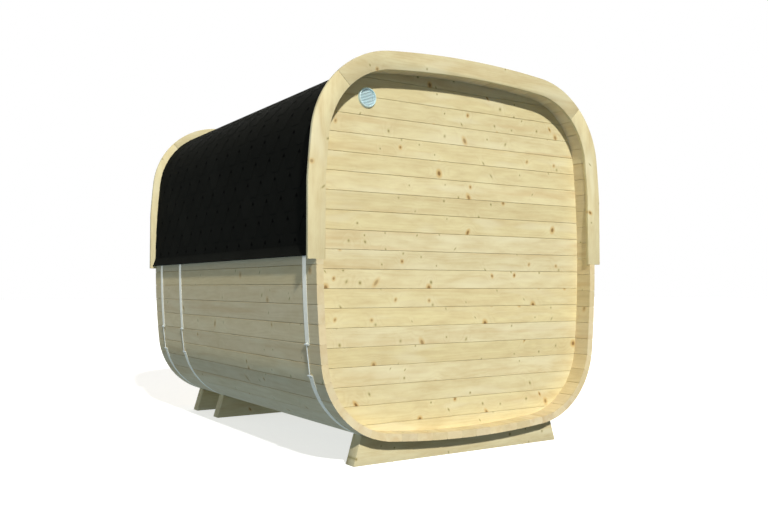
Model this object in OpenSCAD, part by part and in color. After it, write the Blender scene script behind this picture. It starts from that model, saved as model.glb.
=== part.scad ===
// Cube sauna: a bowed, round-cornered shell of lengthwise staves on three cradles.
// Y runs along the shell. The rear end, with the vent, faces +Y and the porch
// with the door faces -Y. Left and right are as seen from the porch, so right is +X.
// The origin is on the ground, under the middle of the sauna.

/* [Shell] */
// Width of the shell over its staves
shell_w = 2200; // [1900:10:2600]
// Height of the shell over its staves
shell_h = 2300; // [2000:10:2600]
// Length of the shell
shell_l = 2900; // [2300:10:4000]
// Radius of the slight outward bow of the side walls
side_bow_r = 6400; // [5000:100:12000]
// Radius of the slight outward bow of the floor and the ceiling
top_bow_r = 6000; // [5000:100:12000]
// Outside radius of the four rounded edges
corner_r = 520; // [350:10:650]
// Thickness of the staves
stave_t = 45; // [35:1:60]

/* [End walls] */
// Distance from the rear end of the shell to the face of the rear wall
rear_recess = 122; // [60:2:300]
// Depth of the open porch in front of the front wall
porch_d = 605; // [400:5:900]
// Thickness of both end walls
end_wall_t = 45; // [30:1:60]
// Depth of the groove in the staves that holds an end wall
groove_d = 12; // [5:1:15]
// Gap round an end wall at the bottom of its groove
groove_gap = 2; // [0.5:0.5:4]

/* [Vent] */
// Distance from the inside of the right-hand side wall to the middle of the vent
vent_side_in = 360; // [340:5:900]
// Distance from the inside of the ceiling down to the middle of the vent
vent_top_in = 190; // [180:5:600]
// Diameter of the vent's flange
vent_d = 125; // [100:1:160]
// Diameter of the hole through the wall
vent_bore_d = 100; // [60:1:120]
// Distance that the flange stands out from the wall
vent_t = 14; // [8:1:30]
// Width of the flange's round rim
vent_rim_w = 10; // [6:1:12]
// Thickness of one slat
slat_t = 3; // [2:0.5:4]
// Distance from one slat to the next
slat_pitch = 13; // [9:1:20]

/* [Door] */
// Width of the door leaf
door_w = 690; // [600:5:800]
// Thickness of the door leaf
door_t = 40; // [30:1:45]
// Height of the sill board under the door, from the lowest point of the shell inside
sill_h = 130; // [90:5:180]
// Height of the front wall over the door frame, up to the highest point of the ceiling
head_h = 180; // [130:5:400]
// Width of one member of the door frame
frame_w = 50; // [35:1:70]
// Depth of the door frame, from front to back
frame_t = 70; // [50:1:90]
// Gap round the door leaf in its frame
door_gap = 4; // [3:0.5:8]
// Length of the wooden pull handle
handle_h = 360; // [200:10:500]
// Width of the handle's square bar
handle_w = 34; // [24:1:45]
// Clear space behind the handle's bar
handle_gap = 40; // [30:1:60]
// Distance from the free edge of the leaf to the middle of the handle
handle_inset = 70; // [45:5:120]
// Height of the handle's middle above the bottom of the leaf
handle_z = 950; // [800:10:1100]
// Diameter of a hinge barrel
hinge_d = 16; // [12:1:22]
// Length of a hinge barrel
hinge_h = 90; // [60:5:120]
// Distance of the outer hinges from the ends of the leaf
hinge_inset = 220; // [120:10:350]

/* [Trims] */
// Thickness of the arched trim boards
trim_t = 22; // [15:1:40]
// Distance that a trim stands out beyond the staves
trim_over = 64; // [45:1:90]
// Distance that a trim stands in past the inside of the staves
trim_lip = 3; // [0:1:12]
// Height above the middle of the shell below which the legs of a trim are straight
trim_leg_h = 380; // [200:10:500]
// Distance from the middle height of the shell down to the foot of a trim
trim_drop = 62; // [20:2:200]
// Direction of the joints in a trim, above the horizontal
trim_joint_a = 45; // [30:1:60]

/* [Roof] */
// Thickness of the bitumen roof cover
roof_t = 9; // [5:1:20]
// Distance from the middle height of the shell down to the eave
eave_drop = 40; // [10:2:100]
// Height of the flared strip along the eave
eave_h = 58; // [25:1:80]
// Distance that the flared strip stands out from the staves
eave_flare = 32; // [20:1:40]

/* [Bands] */
// Width of a steel band
band_w = 46; // [25:1:60]
// Thickness of a steel band
band_t = 2; // [1:0.5:4]
// Distance from the front end to the middle of the front band
band_front_in = 170; // [125:5:250]
// Distance from the middle height of the shell down to the upper tightening lug
lug_drop = 545; // [450:5:650]
// Height between the two tightening lugs
lug_span = 178; // [120:2:260]
// Distance that a lug stands out from its band
lug_out = 20; // [14:1:30]
// Thickness of a lug along the band
lug_t = 8; // [5:1:14]
// Diameter of the threaded rod
rod_d = 8; // [6:1:10]
// Distance that the threaded rod runs on past a lug
rod_end = 14; // [8:1:30]

/* [Cradles] */
// Thickness of a cradle along the shell
cradle_t = 95; // [60:1:140]
// Length of the foot of a cradle
cradle_foot_w = 1600; // [1300:10:1800]
// Lean of a cradle's ends from the upright
cradle_lean_a = 17; // [5:1:25]
// Height from the ground to the lowest point of the shell
shell_lift = 112; // [80:2:200]

/* [Hidden] */

$fn = 96;
// number of flats on half a bowed side and on a round corner
bow_n = 8;
corner_n = 24;

WOOD = "BurlyWood";
ROOF = "#1c1d1b";
STEEL = "#b4bec2";
VENT = "#d5e3e8";

// Heights and places along Y
mid_z = shell_lift + shell_h / 2;
rear_y = shell_l / 2;
front_y = -shell_l / 2;
rear_wall_y = rear_y - rear_recess - end_wall_t;
front_wall_y = front_y + porch_d;
// two of the bands and cradles sit over the end walls
band_rear_y = rear_wall_y + end_wall_t / 2;
band_middle_y = front_wall_y + end_wall_t / 2;
band_front_y = front_y + band_front_in;
trimmed_l = shell_l - 2 * trim_t;

// The outline is made of four bowed sides and four round corners that meet them
// without a kink. All arcs of a thicker or thinner outline keep their centres.
side_c = [shell_w / 2 - side_bow_r, 0];
top_c = [0, shell_h / 2 - top_bow_r];
side_reach = side_bow_r - corner_r;
top_reach = top_bow_r - corner_r;
centres_d = norm(side_c - top_c);
centres_u = (side_c - top_c) / centres_d;
along = (top_reach * top_reach - side_reach * side_reach + centres_d * centres_d)
    / (2 * centres_d);
across = sqrt(top_reach * top_reach - along * along);
corner_c = top_c + along * centres_u + across * [centres_u[1], -centres_u[0]];
// directions in which a side turns into a corner and a corner into the ceiling
side_a = atan2(corner_c[1] - side_c[1], corner_c[0] - side_c[0]);
top_a = atan2(corner_c[1] - top_c[1], corner_c[0] - top_c[0]);
side_end_h = side_bow_r * sin(side_a);

function polar(r, a) = [r * cos(a), r * sin(a)];

// Point in direction a of an arc that is laid out in n flats from a0 to a1
function flat_arc(c, r, a, a0, a1, n) = let (
    step = (a1 - a0) / n,
    middle = a0 + (floor((a - a0) / step) + 0.5) * step
) c + polar(r * cos(step / 2) / cos(a - middle), a);

// Point of the outline moved out by off, where the outline faces direction a:
// 0 is to the right, 90 is up
function quarter_point(a, off) =
    a < side_a ? flat_arc(side_c, side_bow_r + off, a, 0, side_a, bow_n)
    : a < top_a ? flat_arc(corner_c, corner_r + off, a, side_a, top_a, corner_n)
    : flat_arc(top_c, top_bow_r + off, a, top_a, 90, bow_n);
function outline_point(a, off) = let (
    p = quarter_point(acos(abs(cos(a))), off)
) [cos(a) < 0 ? -p[0] : p[0], sin(a) < 0 ? -p[1] : p[1]];

// Directions in which one flat of the outline meets the next, from 0 to 90
QUARTER = concat(
    [for (i = [0:bow_n - 1]) i / bow_n * side_a],
    [for (i = [0:corner_n - 1]) side_a + i / corner_n * (top_a - side_a)],
    [for (i = [0:bow_n]) top_a + i / bow_n * (90 - top_a)]
);
HALF = concat(QUARTER, [for (i = [len(QUARTER) - 2:-1:0]) 180 - QUARTER[i]]);
STEPS = [for (turn = [-1:1]) for (i = [0:len(HALF) - 2]) 180 * turn + HALF[i]];
step_gap = 0.001;

// Points of the outline from direction a0 to direction a1, and all round
function edge_points(off, a0, a1) = concat(
    [outline_point(a0, off)],
    [for (a = STEPS) if (a > a0 + step_gap && a < a1 - step_gap) outline_point(a, off)],
    [outline_point(a1, off)]
);
function outline_points(off) = [for (a = STEPS) if (a >= 0) outline_point(a, off)];
function backward(points) = [for (i = [len(points) - 1:-1:0]) points[i]];

// Direction in which a side wall faces at height h above the middle. Below the
// middle it is the same with the other sign.
function wall_a(h) = h <= side_end_h
    ? asin(h / side_bow_r) : asin((h - corner_c[1]) / corner_r);

// ---- Building blocks ----

// Stands a flat shape, drawn in X and Z about the middle height, on its end and
// gives it length l from y0 towards +Y
module along_y(y0, l) {
    translate([0, y0 + l, mid_z])
        rotate([90, 0, 0])
            linear_extrude(l) children();
}

// Strip that follows the outline between two offsets and two directions
module strip(o0, o1, a0, a1) {
    polygon(concat(edge_points(o0, a0, a1), backward(edge_points(o1, a0, a1))));
}

// The right-hand side as drawn, or its mirror image on the left
module on_side(right) {
    mirror([right ? 0 : 1, 0, 0]) children();
}

// Run of staves between two directions, with the grooves for both end walls
module staves(y0, l, a0, a1) {
    spare = 1;
    difference() {
        along_y(y0, l) strip(-stave_t, 0, a0, a1);
        for (wall_y = [rear_wall_y, front_wall_y])
            along_y(wall_y, end_wall_t)
                strip(-stave_t - spare, groove_d - stave_t, a0 - spare, a1 + spare);
    }
}

// ---- Shell ----

module floor_staves() {
    color(WOOD) staves(front_y, shell_l, top_a - 180, -top_a);
}

module lower_edge(right) {
    color(WOOD) on_side(right) staves(front_y, shell_l, -top_a, -side_a);
}

// The staves below the foot of the trims run the whole length of the shell
module side_wall(right) {
    color(WOOD) on_side(right) staves(front_y, shell_l, -side_a, -wall_a(trim_drop));
}

// The staves above it are shorter by the trims that cover their ends
module upper_wall(right) {
    color(WOOD) on_side(right)
        staves(front_y + trim_t, trimmed_l, -wall_a(trim_drop), side_a);
}

module upper_edge(right) {
    color(WOOD) on_side(right) staves(front_y + trim_t, trimmed_l, side_a, top_a);
}

module ceiling() {
    color(WOOD) staves(front_y + trim_t, trimmed_l, top_a, 180 - top_a);
}

// ---- End walls ----

module end_wall(y0) {
    along_y(y0, end_wall_t) polygon(outline_points(groove_d - groove_gap - stave_t));
}

vent_x = shell_w / 2 - stave_t - vent_side_in;
vent_z = shell_h / 2 - stave_t - vent_top_in;

module rear_wall() {
    color(WOOD) difference() {
        end_wall(rear_wall_y);
        translate([vent_x, rear_wall_y + end_wall_t / 2, mid_z + vent_z])
            rotate([90, 0, 0]) cylinder(d = vent_bore_d, h = 2 * end_wall_t, center = true);
    }
}

module vent() {
    clear_d = vent_d - 2 * vent_rim_w;
    slats = floor((clear_d / 2 - slat_t) / slat_pitch);
    color(VENT) translate([vent_x, rear_wall_y + end_wall_t + vent_t, mid_z + vent_z])
        rotate([90, 0, 0]) {
            difference() {
                cylinder(d = vent_d, h = vent_t);
                translate([0, 0, -1]) cylinder(d = clear_d, h = vent_t + 2);
            }
            intersection() {
                cylinder(d = clear_d + vent_rim_w, h = vent_t);
                for (i = [-slats:slats])
                    translate([-vent_d, i * slat_pitch - slat_t / 2, vent_rim_w / 4])
                        cube([2 * vent_d, slat_t, vent_t - vent_rim_w / 2]);
            }
        }
}

// ---- Front wall and door ----

// Sizes of the opening in the front wall, about the middle height, and of the leaf
door_open_w = door_w + 2 * (door_gap + frame_w);
door_open_h = shell_h - 2 * stave_t - sill_h - head_h;
door_h = door_open_h - 2 * (door_gap + frame_w);
door_open_z = -shell_h / 2 + stave_t + sill_h;
leaf_z = door_open_z + frame_w + door_gap;
wall_reach = shell_w;

module front_wall_part(x0, x1, z0, z1) {
    color(WOOD) intersection() {
        end_wall(front_wall_y);
        translate([x0, front_wall_y - 1, mid_z + z0])
            cube([x1 - x0, end_wall_t + 2, z1 - z0]);
    }
}

module front_wall_side(right) {
    mirror([right ? 0 : 1, 0, 0])
        front_wall_part(door_open_w / 2, wall_reach, -shell_h, shell_h);
}

module front_wall_over_door() {
    front_wall_part(-door_open_w / 2, door_open_w / 2, door_open_z + door_open_h, shell_h);
}

module front_wall_sill() {
    front_wall_part(-door_open_w / 2, door_open_w / 2, -shell_h, door_open_z);
}

frame_y = front_wall_y + (end_wall_t - frame_t) / 2;

module door_frame() {
    color(WOOD) difference() {
        translate([-door_open_w / 2, frame_y, mid_z + door_open_z])
            cube([door_open_w, frame_t, door_open_h]);
        translate([-door_open_w / 2 + frame_w, frame_y - 1, mid_z + door_open_z + frame_w])
            cube([door_open_w - 2 * frame_w, frame_t + 2, door_open_h - 2 * frame_w]);
    }
}

module door_leaf() {
    color(WOOD) translate([-door_w / 2, frame_y, mid_z + leaf_z])
        cube([door_w, door_t, door_h]);
}

// Square bar on two posts, on the left of the leaf
module door_handle() {
    color(WOOD) translate([-door_w / 2 + handle_inset, frame_y, mid_z + leaf_z + handle_z]) {
        translate([-handle_w / 2, -handle_gap - handle_w, -handle_h / 2])
            cube([handle_w, handle_w, handle_h]);
        for (s = [-1, 1])
            translate([-handle_w / 2, -handle_gap, s * (handle_h / 2 - handle_w) - handle_w / 2])
                cube([handle_w, handle_gap, handle_w]);
    }
}

// Three barrels in front of the gap between the leaf and the right-hand post
module door_hinges() {
    heights = [hinge_inset, door_h / 2, door_h - hinge_inset];
    color(STEEL) for (h = heights)
        translate([(door_w + door_gap) / 2, frame_y - hinge_d / 2, mid_z + leaf_z + h - hinge_h / 2])
            cylinder(d = hinge_d, h = hinge_h);
}

// ---- Trims ----

trim_in = -stave_t - trim_lip;
// the foot rests on the upper edge of the side wall
trim_foot_h = outline_point(-wall_a(trim_drop), -stave_t)[1];

// One edge of a side trim: follows the outline, then runs straight down to the foot
function leg_points(off) = let (
    bowed = edge_points(off, wall_a(trim_leg_h), trim_joint_a)
) concat([[bowed[0][0], trim_foot_h]], bowed);

module trim_side(y0, right) {
    color(WOOD) along_y(y0, trim_t) on_side(right)
        polygon(concat(leg_points(trim_in), backward(leg_points(trim_over))));
}

module trim_top(y0) {
    color(WOOD) along_y(y0, trim_t)
        strip(trim_in, trim_over, trim_joint_a, 180 - trim_joint_a);
}

// ---- Roof ----

roof_in = band_t;
roof_out = band_t + roof_t;
// the cover starts where the flared strip ends
roof_foot = eave_drop - eave_h;

module roof(a0, a1) {
    color(ROOF) along_y(front_y + trim_t, trimmed_l) strip(roof_in, roof_out, a0, a1);
}

module roof_side(right) {
    on_side(right) roof(-wall_a(roof_foot), top_a);
}

module roof_top() {
    roof(top_a, 180 - top_a);
}

// Wedge that turns the water off the wall below
module eave(right) {
    inner = edge_points(roof_in, -wall_a(eave_drop), -wall_a(roof_foot));
    color(ROOF) along_y(front_y + trim_t, trimmed_l) on_side(right)
        polygon(concat(
            inner,
            [outline_point(-wall_a(roof_foot), roof_out)],
            [[shell_w / 2 + eave_flare, inner[0][1]]]
        ));
}

// ---- Bands ----

lug_low = lug_drop + lug_span;

module band(y, a0, a1) {
    color(STEEL) along_y(y - band_w / 2, band_w) strip(0, band_t, a0, a1);
}

module band_upper(y) {
    band(y, -wall_a(lug_drop), 180 + wall_a(lug_drop));
}

module band_lower(y) {
    band(y, wall_a(lug_low) - 180, -wall_a(lug_low));
}

// Lug that stands on a band between two heights below the middle
module lug(h0, h1) {
    along_y(-band_w / 2, band_w)
        strip(band_t, band_t + lug_out, -wall_a(h1), -wall_a(h0));
}

// Two lugs on one side of a band, with the threaded rod that pulls them together
module tightener(y, right) {
    high = outline_point(-wall_a(lug_drop), band_t + lug_out / 2);
    low = outline_point(-wall_a(lug_low), band_t + lug_out / 2);
    color(STEEL) translate([0, y, 0]) on_side(right) {
        lug(lug_drop - lug_t, lug_drop);
        lug(lug_low, lug_low + lug_t);
        translate([low[0], 0, mid_z + low[1]])
            rotate([0, atan2(high[0] - low[0], high[1] - low[1]), 0])
                translate([0, 0, -rod_end])
                    cylinder(d = rod_d, h = norm(high - low) + 2 * rod_end);
    }
}

module tighteners(y) {
    tightener(y, false);
    tightener(y, true);
}

// ---- Cradles ----

// Trapezium with a hollow top, in which the bands rest
module cradle(y) {
    foot = cradle_foot_w / 2;
    high = -corner_c[1];
    head = foot - tan(cradle_lean_a) * (high + mid_z);
    color(WOOD) along_y(y - cradle_t / 2, cradle_t)
        difference() {
            polygon([[-foot, -mid_z], [foot, -mid_z], [head, high], [-head, high]]);
            polygon(outline_points(band_t));
        }
}

floor_staves();  // floor
lower_edge(false);  // lower_edge_left
lower_edge(true);  // lower_edge_right
side_wall(false);  // side_wall_left
side_wall(true);  // side_wall_right
upper_wall(false);  // upper_wall_left
upper_wall(true);  // upper_wall_right
upper_edge(false);  // upper_edge_left
upper_edge(true);  // upper_edge_right
ceiling();
rear_wall();
vent();
front_wall_side(false);  // front_wall_left
front_wall_side(true);  // front_wall_right
front_wall_over_door();
front_wall_sill();
door_frame();
door_leaf();
door_handle();
door_hinges();
trim_side(rear_y - trim_t, false);  // rear_trim_left
trim_top(rear_y - trim_t);  // rear_trim_top
trim_side(rear_y - trim_t, true);  // rear_trim_right
trim_side(front_y, false);  // front_trim_left
trim_top(front_y);  // front_trim_top
trim_side(front_y, true);  // front_trim_right
roof_side(false);  // roof_left
roof_top();
roof_side(true);  // roof_right
eave(false);  // eave_left
eave(true);  // eave_right
band_upper(band_rear_y);  // rear_band_upper
band_lower(band_rear_y);  // rear_band_lower
tighteners(band_rear_y);  // rear_band_tighteners
band_upper(band_middle_y);  // middle_band_upper
band_lower(band_middle_y);  // middle_band_lower
tighteners(band_middle_y);  // middle_band_tighteners
band_upper(band_front_y);  // front_band_upper
band_lower(band_front_y);  // front_band_lower
tighteners(band_front_y);  // front_band_tighteners
cradle(band_rear_y);  // rear_cradle
cradle(band_middle_y);  // middle_cradle
cradle(band_front_y);  // front_cradle
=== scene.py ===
"""Cube sauna: staves, boards, shingles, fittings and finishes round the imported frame.

All places are in metres on the frame's own axes: +Y is the rear end with the vent, -Y the
porch with the door, +X the right-hand side as seen from the porch, and +Z up from the ground.
"""

import logging
import math
import random
from collections.abc import Callable, Iterator, Sequence
from dataclasses import dataclass, field, replace
from enum import Enum

import bmesh
import bpy
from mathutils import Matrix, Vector


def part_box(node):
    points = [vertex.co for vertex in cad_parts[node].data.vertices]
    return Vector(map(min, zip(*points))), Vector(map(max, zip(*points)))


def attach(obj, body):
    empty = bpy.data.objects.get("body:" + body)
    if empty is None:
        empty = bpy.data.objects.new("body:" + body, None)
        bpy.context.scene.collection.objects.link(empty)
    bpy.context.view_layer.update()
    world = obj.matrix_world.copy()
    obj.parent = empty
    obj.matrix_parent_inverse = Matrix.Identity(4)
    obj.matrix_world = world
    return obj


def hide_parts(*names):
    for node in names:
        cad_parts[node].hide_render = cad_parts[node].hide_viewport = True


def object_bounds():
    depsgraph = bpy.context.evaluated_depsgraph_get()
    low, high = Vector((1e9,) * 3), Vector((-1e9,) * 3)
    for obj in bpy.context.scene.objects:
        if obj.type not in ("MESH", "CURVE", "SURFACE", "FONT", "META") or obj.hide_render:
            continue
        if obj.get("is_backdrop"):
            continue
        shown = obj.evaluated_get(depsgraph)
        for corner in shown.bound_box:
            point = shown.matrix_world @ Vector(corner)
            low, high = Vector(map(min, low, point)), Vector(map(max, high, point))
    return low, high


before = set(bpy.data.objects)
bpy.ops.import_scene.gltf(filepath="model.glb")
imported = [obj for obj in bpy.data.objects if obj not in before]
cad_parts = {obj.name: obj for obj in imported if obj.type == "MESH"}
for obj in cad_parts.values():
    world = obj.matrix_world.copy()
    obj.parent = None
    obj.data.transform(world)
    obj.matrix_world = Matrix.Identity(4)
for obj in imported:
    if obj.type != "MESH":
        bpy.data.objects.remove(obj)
CAD_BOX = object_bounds()

Pair = tuple[float, float]
Triple = tuple[float, float, float]
Colour = Triple
Corner = tuple[Vector, Vector]  # its place, and its grain: along, across and depth
Placing = Callable[[float, float, float], Vector]
Material = bpy.types.Material
Socket = bpy.types.NodeSocket
Link = object  # a Val, an output socket or a plain value

LOG = logging.getLogger("cube_sauna")
BODY = "root"
SMOOTH_BELOW = math.radians(28)
SHARP_ABOVE = math.radians(30)
WELDS_PER_METRE = 1e6
TREE_ALONG = 40.0  # how far along the tree a board's grain may start, either way
TREE_ASIDE = 0.05  # how far beside the tree's heart it may start
BAND_PLACES = ("rear", "middle", "front")


class Option(Enum):
    """A choice with a name."""

    @property
    def word(self) -> str:
        """Its name as the frame's nodes spell it."""
        return self.name.lower()


class Side(Option):
    """The two sides of the sauna, by the sign of X."""

    LEFT = -1
    RIGHT = 1


class End(Option):
    """The two ends of the sauna, by the sign of Y."""

    REAR = 1
    FRONT = -1


class Grain(Option):
    """The axis along which the grain of a plain piece of timber runs."""

    X = 0
    Y = 1
    Z = 2


# ---- Shader maths ----


def operator(operation: str, swapped: bool = False) -> Callable[["Val", "Val | float"], "Val"]:
    """Makes an operator of Val.

    Args:
        operation: The Math node's operation.
        swapped: Whether the other number comes first.

    Returns:
        The operator.
    """

    def method(value: "Val", other: "Val | float") -> "Val":
        """The result of the operation on two numbers."""
        return value.combined(operation, *((other, value) if swapped else (value, other)))

    return method


class Val:
    """A number on a socket. An expression on it adds the Math nodes that it needs."""

    def __init__(self, graph: "Graph", socket: Socket) -> None:
        """Wraps one output socket of a graph."""
        self.graph = graph
        self.socket = socket

    def combined(self, operation: str, *terms: "Val | float", clamp: bool = False) -> "Val":
        """Adds one Math node.

        Args:
            operation: The node's operation.
            terms: Its inputs, in order.
            clamp: Whether the result is held between 0 and 1.

        Returns:
            The node's result.
        """
        settings = {"operation": operation, "use_clamp": clamp}
        node = self.graph.node("ShaderNodeMath", settings, dict(enumerate(terms)))
        return Val(self.graph, node.outputs[0])

    __add__ = __radd__ = operator("ADD")
    __mul__ = __rmul__ = operator("MULTIPLY")
    __sub__, __rsub__ = operator("SUBTRACT"), operator("SUBTRACT", swapped=True)
    __truediv__, __rtruediv__ = operator("DIVIDE"), operator("DIVIDE", swapped=True)
    __pow__, __rpow__ = operator("POWER"), operator("POWER", swapped=True)
    __lt__, __gt__ = operator("LESS_THAN"), operator("GREATER_THAN")

    def wave(self) -> "Val":
        """A smooth wave between 0 and 1, with one crest for each turn in radians."""
        return self.combined("SINE", self) * 0.5 + 0.5

    def fraction(self) -> "Val":
        """What is left after the whole number."""
        return self.combined("FRACT", self)

    def held(self) -> "Val":
        """The same number, held between 0 and 1."""
        return self.combined("ADD", self, 0.0, clamp=True)

    def rise(self, low: "Val | float", high: "Val | float") -> "Val":
        """A soft step: 0 below low, 1 above high and a smooth rise between."""
        settings, sockets = {"interpolation_type": "SMOOTHSTEP"}, {0: self, 1: low, 2: high}
        return Val(self.graph, self.graph.node("ShaderNodeMapRange", settings, sockets).outputs[0])


class Graph:
    """The node tree of one finish, or of the studio's world."""

    def __init__(self, name: str, tree: bpy.types.NodeTree | None = None) -> None:
        """Starts an empty tree.

        Args:
            name: Name of the new material.
            tree: The tree to clear and use, if not a new material's.
        """
        if tree is None:
            self.material = bpy.data.materials.new(name)
            self.material.use_nodes = True
            tree = self.material.node_tree
        self.tree = tree
        self.tree.nodes.clear()

    def node(
        self, kind: str, settings: dict | None = None, sockets: dict | None = None
    ) -> bpy.types.Node:
        """Adds any node.

        Args:
            kind: The node's type.
            settings: Its own settings, set first.
            sockets: Links for its inputs, by name or number.

        Returns:
            The new node.
        """
        node = self.tree.nodes.new(kind)
        for key, value in (settings or {}).items():
            setattr(node, key, value)
        for key, value in (sockets or {}).items():
            entry = node.inputs[key]
            source = value.socket if isinstance(value, Val) else value
            if isinstance(source, Socket):
                self.tree.links.new(source, entry)
            elif entry.type == "RGBA":
                entry.default_value = (*source, 1.0)
            else:
                entry.default_value = source
        return node

    def attribute(self, name: str, output: str) -> Socket:
        """The output of an attribute that the meshes carry."""
        return self.node("ShaderNodeAttribute", {"attribute_name": name}).outputs[output]

    def tone(self) -> Val:
        """The tone of the board or tab."""
        return Val(self, self.attribute("tone", "Fac"))

    def place(self) -> Socket:
        """The place of a point in the frame, in metres."""
        return self.node("ShaderNodeTexCoord").outputs["Object"]

    def vector(self, operation: str, sockets: dict[int, Link]) -> Socket:
        """The result of one Vector Math node."""
        return self.node("ShaderNodeVectorMath", {"operation": operation}, sockets).outputs[0]

    def noise(
        self, vector: Link, scale: float = 1.0, detail: float = 2.0, rough: float = 0.5
    ) -> Val:
        """Noise from 0 to 1, with its clouds per metre, and how many and how rough finer layers."""
        sockets = {"Vector": vector, "Scale": scale, "Detail": detail, "Roughness": rough}
        return Val(self, self.node("ShaderNodeTexNoise", None, sockets).outputs[0])

    def streaks(self, grain: Link, along: float, across: float, **finer: float) -> Val:
        """Noise that is drawn out along the grain, with its clouds per metre along and across."""
        return self.noise(self.vector("MULTIPLY", {0: grain, 1: (along, across, across)}), **finer)

    def parts(self, vector: Link) -> tuple[Val, Val, Val]:
        """The three parts of a vector or colour."""
        node = self.node("ShaderNodeSeparateXYZ", None, {0: vector})
        return tuple(Val(self, out) for out in node.outputs)

    def blend(self, share: "Val | float", first: Link, second: Link) -> Socket:
        """Mixes two colours, with that share of the second one."""
        sockets = {0: share, 6: first, 7: second}
        return self.node("ShaderNodeMix", {"data_type": "RGBA"}, sockets).outputs[2]

    def relief(self, height: Val, depth: float, strength: float) -> Socket:
        """The normal of a surface with that height map, depth metres deep."""
        sockets = {"Height": height, "Distance": depth, "Strength": strength}
        return self.node("ShaderNodeBump", None, sockets).outputs["Normal"]

    def finish(self, **sockets: Link) -> Material:
        """Ends the tree with a surface shader.

        Args:
            sockets: Inputs of the shader, with _ for each space in their names.

        Returns:
            The finished material.
        """
        named = {key.replace("_", " "): value for key, value in sockets.items()}
        shader = self.node("ShaderNodeBsdfPrincipled", None, named)
        self.node("ShaderNodeOutputMaterial", None, {"Surface": shader.outputs[0]})
        return self.material


# ---- Finishes ----


@dataclass(frozen=True)
class Knots:
    """A scatter of knots of one kind over the boards."""

    spacing: float
    share: float
    size: Pair
    core: Colour
    rim: Colour
    strength: float
    slant: float = 0.8
    flat: Pair = (0.97, 0.25)
    faintest: float = 0.55
    core_edge: Pair = (0.35, 0.95)  # in sizes of a knot, as are the next two
    rim_edge: Pair = (0.7, 1.9)
    bend_edge: float = 6.0

    def fewer(self, share: float, strength: float) -> "Knots":
        """The same knots, but only a share of them, and fainter."""
        return replace(self, share=self.share * share, strength=self.strength * strength)

    def scatter(self, g: Graph, grain: Socket) -> tuple[Val, Val, Val]:
        """Reads the knots along a board's grain.

        Args:
            g: The graph to build in.
            grain: The place in the tree: along, across and depth.

        Returns:
            The knots' cores, their rims, and the wood that bends round them, each from 0 to 1.
        """
        spot = g.vector("MULTIPLY", {0: grain, 1: (1 / self.spacing, 1 / self.spacing, 0.0)})
        cells = g.node(
            "ShaderNodeTexVoronoi", {"voronoi_dimensions": "2D"}, {"Vector": spot, "Scale": 1.0}
        ).outputs
        chance, luck, turn = g.parts(cells["Color"])
        along, across, _ = g.parts(g.vector("SUBTRACT", {0: spot, 1: cells["Position"]}))
        lean = (turn - 0.5) * 2
        flat = self.flat[0] - lean * lean * self.flat[1]
        along = (along + across * lean * lean * lean * self.slant) * self.spacing / flat
        across = across * self.spacing * flat
        reach = (along * along + across * across) ** 0.5
        low, high = self.size
        size = low + luck * luck * (high - low)
        there = chance / self.share * (1 - self.faintest) + self.faintest
        there = (chance < self.share) * there

        def disc(inner: Val, outer: Val) -> Val:
            """1 on the knots, falling to 0 between two distances from their middles."""
            return there * (1 - reach.rise(inner, outer))

        core, rim = ([size * edge for edge in edges] for edges in (self.core_edge, self.rim_edge))
        return disc(*core), disc(*rim), disc(size, size * self.bend_edge)


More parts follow.
